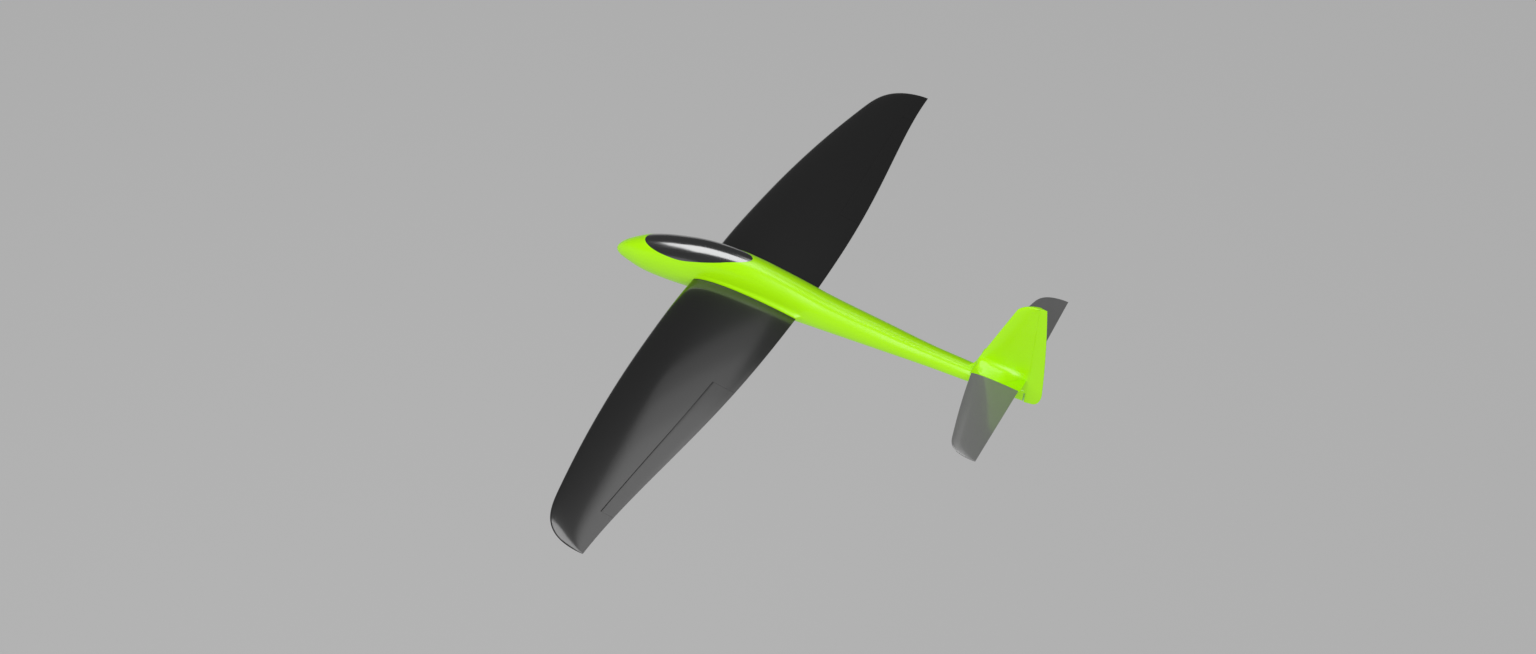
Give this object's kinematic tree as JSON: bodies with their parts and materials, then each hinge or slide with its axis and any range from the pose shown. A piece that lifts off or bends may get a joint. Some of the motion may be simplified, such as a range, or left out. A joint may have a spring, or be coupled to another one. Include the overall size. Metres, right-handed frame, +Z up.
{
  "type": "rc foam glider",
  "caption": "Radio controlled foam glider with pod-and-boom fuselage, plug-in wing, lift-off canopy, ailerons, rudder and all-moving tailplane.",
  "frame": {"origin": "under the centre of the bounding box, on the plane of the belly skid", "axes": "+X towards the tail, +Y starboard along the span, +Z up"},
  "size_m": [0.725, 1.0998, 0.2187],
  "materials": {
    "green_foam": "glossy moulded foam, lime green",
    "charcoal_film": "satin charcoal film over foam",
    "grey_film": "satin grey film over foam",
    "canopy": "polished smoke black",
    "black_plastic": "matt black",
    "carbon": "pultruded carbon",
    "servo_case": "dark blue moulded case",
    "white_nylon": "white nylon",
    "steel_wire": "drawn wire",
    "brass_tube": "drawn tube",
    "plywood": "light plywood",
    "ballast": "dull grey weight",
    "battery_wrap": "shrink-wrapped pack",
    "strap": "woven hook-and-loop"
  },
  "bodies": {
    "fuselage": {"fuselage_left_shell": "green_foam", "fuselage_right_shell": "green_foam", "belly_skid": "black_plastic", "wing_panel_left": "charcoal_film", "root_rib_left": "black_plastic", "joiner_sleeve_left": "brass_tube", "wing_spar_left": "carbon", "aileron_servo_left": "servo_case", "aileron_servo_cover_left": "servo_case", "wing_panel_right": "charcoal_film", "root_rib_right": "black_plastic", "joiner_sleeve_right": "brass_tube", "wing_spar_right": "carbon", "aileron_servo_right": "servo_case", "aileron_servo_cover_right": "servo_case", "tail_fin": "green_foam", "rudder_servo": "servo_case", "elevator_servo": "servo_case", "equipment_tray": "plywood", "battery_pack": "battery_wrap", "receiver": "black_plastic", "battery_strap": "strap", "nose_ballast": "ballast", "wing_joiner": "carbon"},
    "canopy": {"canopy": "canopy"},
    "rudder": {"rudder": "green_foam", "rudder_horn": "black_plastic"},
    "rudder_arm": {"rudder_servo_arm": "white_nylon"},
    "rudder_rod": {"rudder_pushrod": "carbon"},
    "tailplane": {"stab_left": "grey_film", "stab_right": "grey_film", "stab_pivot_rod": "steel_wire", "tail_crank": "white_nylon"},
    "elevator_arm": {"elevator_servo_arm": "white_nylon"},
    "elevator_rod": {"elevator_pushrod": "carbon"},
    "aileron_left": {"aileron_left": "charcoal_film", "aileron_horn_left": "black_plastic"},
    "aileron_arm_left": {"aileron_servo_arm_left": "white_nylon"},
    "aileron_rod_left": {"aileron_pushrod_left": "steel_wire"},
    "aileron_right": {"aileron_right": "charcoal_film", "aileron_horn_right": "black_plastic"},
    "aileron_arm_right": {"aileron_servo_arm_right": "white_nylon"},
    "aileron_rod_right": {"aileron_pushrod_right": "steel_wire"}
  },
  "joints": [
    {"name": "canopy_lift", "type": "slide", "parent": "fuselage", "child": "canopy", "axis": [0, 0, 1], "range_m": [0, 0.08]},
    {"name": "aileron_left_hinge", "type": "hinge", "parent": "fuselage", "child": "aileron_left", "pos_m": [-0.06982, -0.232, 0.04779], "axis": [0.0653, 0.9979, 0.0029], "range_deg": [-20, 20]},
    {"name": "aileron_left_servo", "type": "hinge", "parent": "fuselage", "child": "aileron_arm_left", "pos_m": [-0.10574, -0.22965, 0.04779], "axis": [0.0653, 0.9979, 0.0029], "range_deg": [-20, 20]},
    {"name": "aileron_left_link", "type": "hinge", "parent": "aileron_arm_left", "child": "aileron_rod_left", "pos_m": [-0.10574, -0.22962, 0.03879], "axis": [0.0653, 0.9979, 0.0029], "range_deg": [-20, 20]},
    {"name": "aileron_right_hinge", "type": "hinge", "parent": "fuselage", "child": "aileron_right", "pos_m": [-0.06982, 0.232, 0.04779], "axis": [-0.0653, 0.9979, -0.0029], "range_deg": [-20, 20]},
    {"name": "aileron_right_servo", "type": "hinge", "parent": "fuselage", "child": "aileron_arm_right", "pos_m": [-0.10574, 0.22965, 0.04779], "axis": [-0.0653, 0.9979, -0.0029], "range_deg": [-20, 20]},
    {"name": "aileron_right_link", "type": "hinge", "parent": "aileron_arm_right", "child": "aileron_rod_right", "pos_m": [-0.10574, 0.22962, 0.03879], "axis": [-0.0653, 0.9979, -0.0029], "range_deg": [-20, 20]},
    {"name": "rudder_hinge", "type": "hinge", "parent": "fuselage", "child": "rudder", "pos_m": [0.33945, 0, 0.0461], "axis": [0, 0, 1], "range_deg": [-25, 25]},
    {"name": "rudder_servo", "type": "hinge", "parent": "fuselage", "child": "rudder_arm", "pos_m": [-0.07805, 0, 0.0401], "axis": [0, 0, 1], "range_deg": [-25, 25]},
    {"name": "rudder_link", "type": "hinge", "parent": "rudder_arm", "child": "rudder_rod", "pos_m": [-0.07805, 0.01, 0.0401], "axis": [0, 0, 1], "range_deg": [-25, 25]},
    {"name": "tailplane_pivot", "type": "hinge", "parent": "fuselage", "child": "tailplane", "pos_m": [0.28695, 0, 0.0716], "axis": [0, 1, 0], "range_deg": [-9, 9]},
    {"name": "elevator_servo", "type": "hinge", "parent": "fuselage", "child": "elevator_arm", "pos_m": [-0.07805, 0, 0.0716], "axis": [0, 1, 0], "range_deg": [-9, 9]},
    {"name": "elevator_link", "type": "hinge", "parent": "elevator_arm", "child": "elevator_rod", "pos_m": [-0.07805, 0, 0.0486], "axis": [0, 1, 0], "range_deg": [-9, 9]}
  ],
  "couplings": [
    {"joint": "aileron_left_servo", "follows": "aileron_left_hinge", "ratio": 1},
    {"joint": "aileron_left_link", "follows": "aileron_left_hinge", "ratio": -1},
    {"joint": "aileron_right_servo", "follows": "aileron_right_hinge", "ratio": 1},
    {"joint": "aileron_right_link", "follows": "aileron_right_hinge", "ratio": -1},
    {"joint": "rudder_servo", "follows": "rudder_hinge", "ratio": 1},
    {"joint": "rudder_link", "follows": "rudder_hinge", "ratio": -1},
    {"joint": "elevator_servo", "follows": "tailplane_pivot", "ratio": 1},
    {"joint": "elevator_link", "follows": "tailplane_pivot", "ratio": -1}
  ]
}
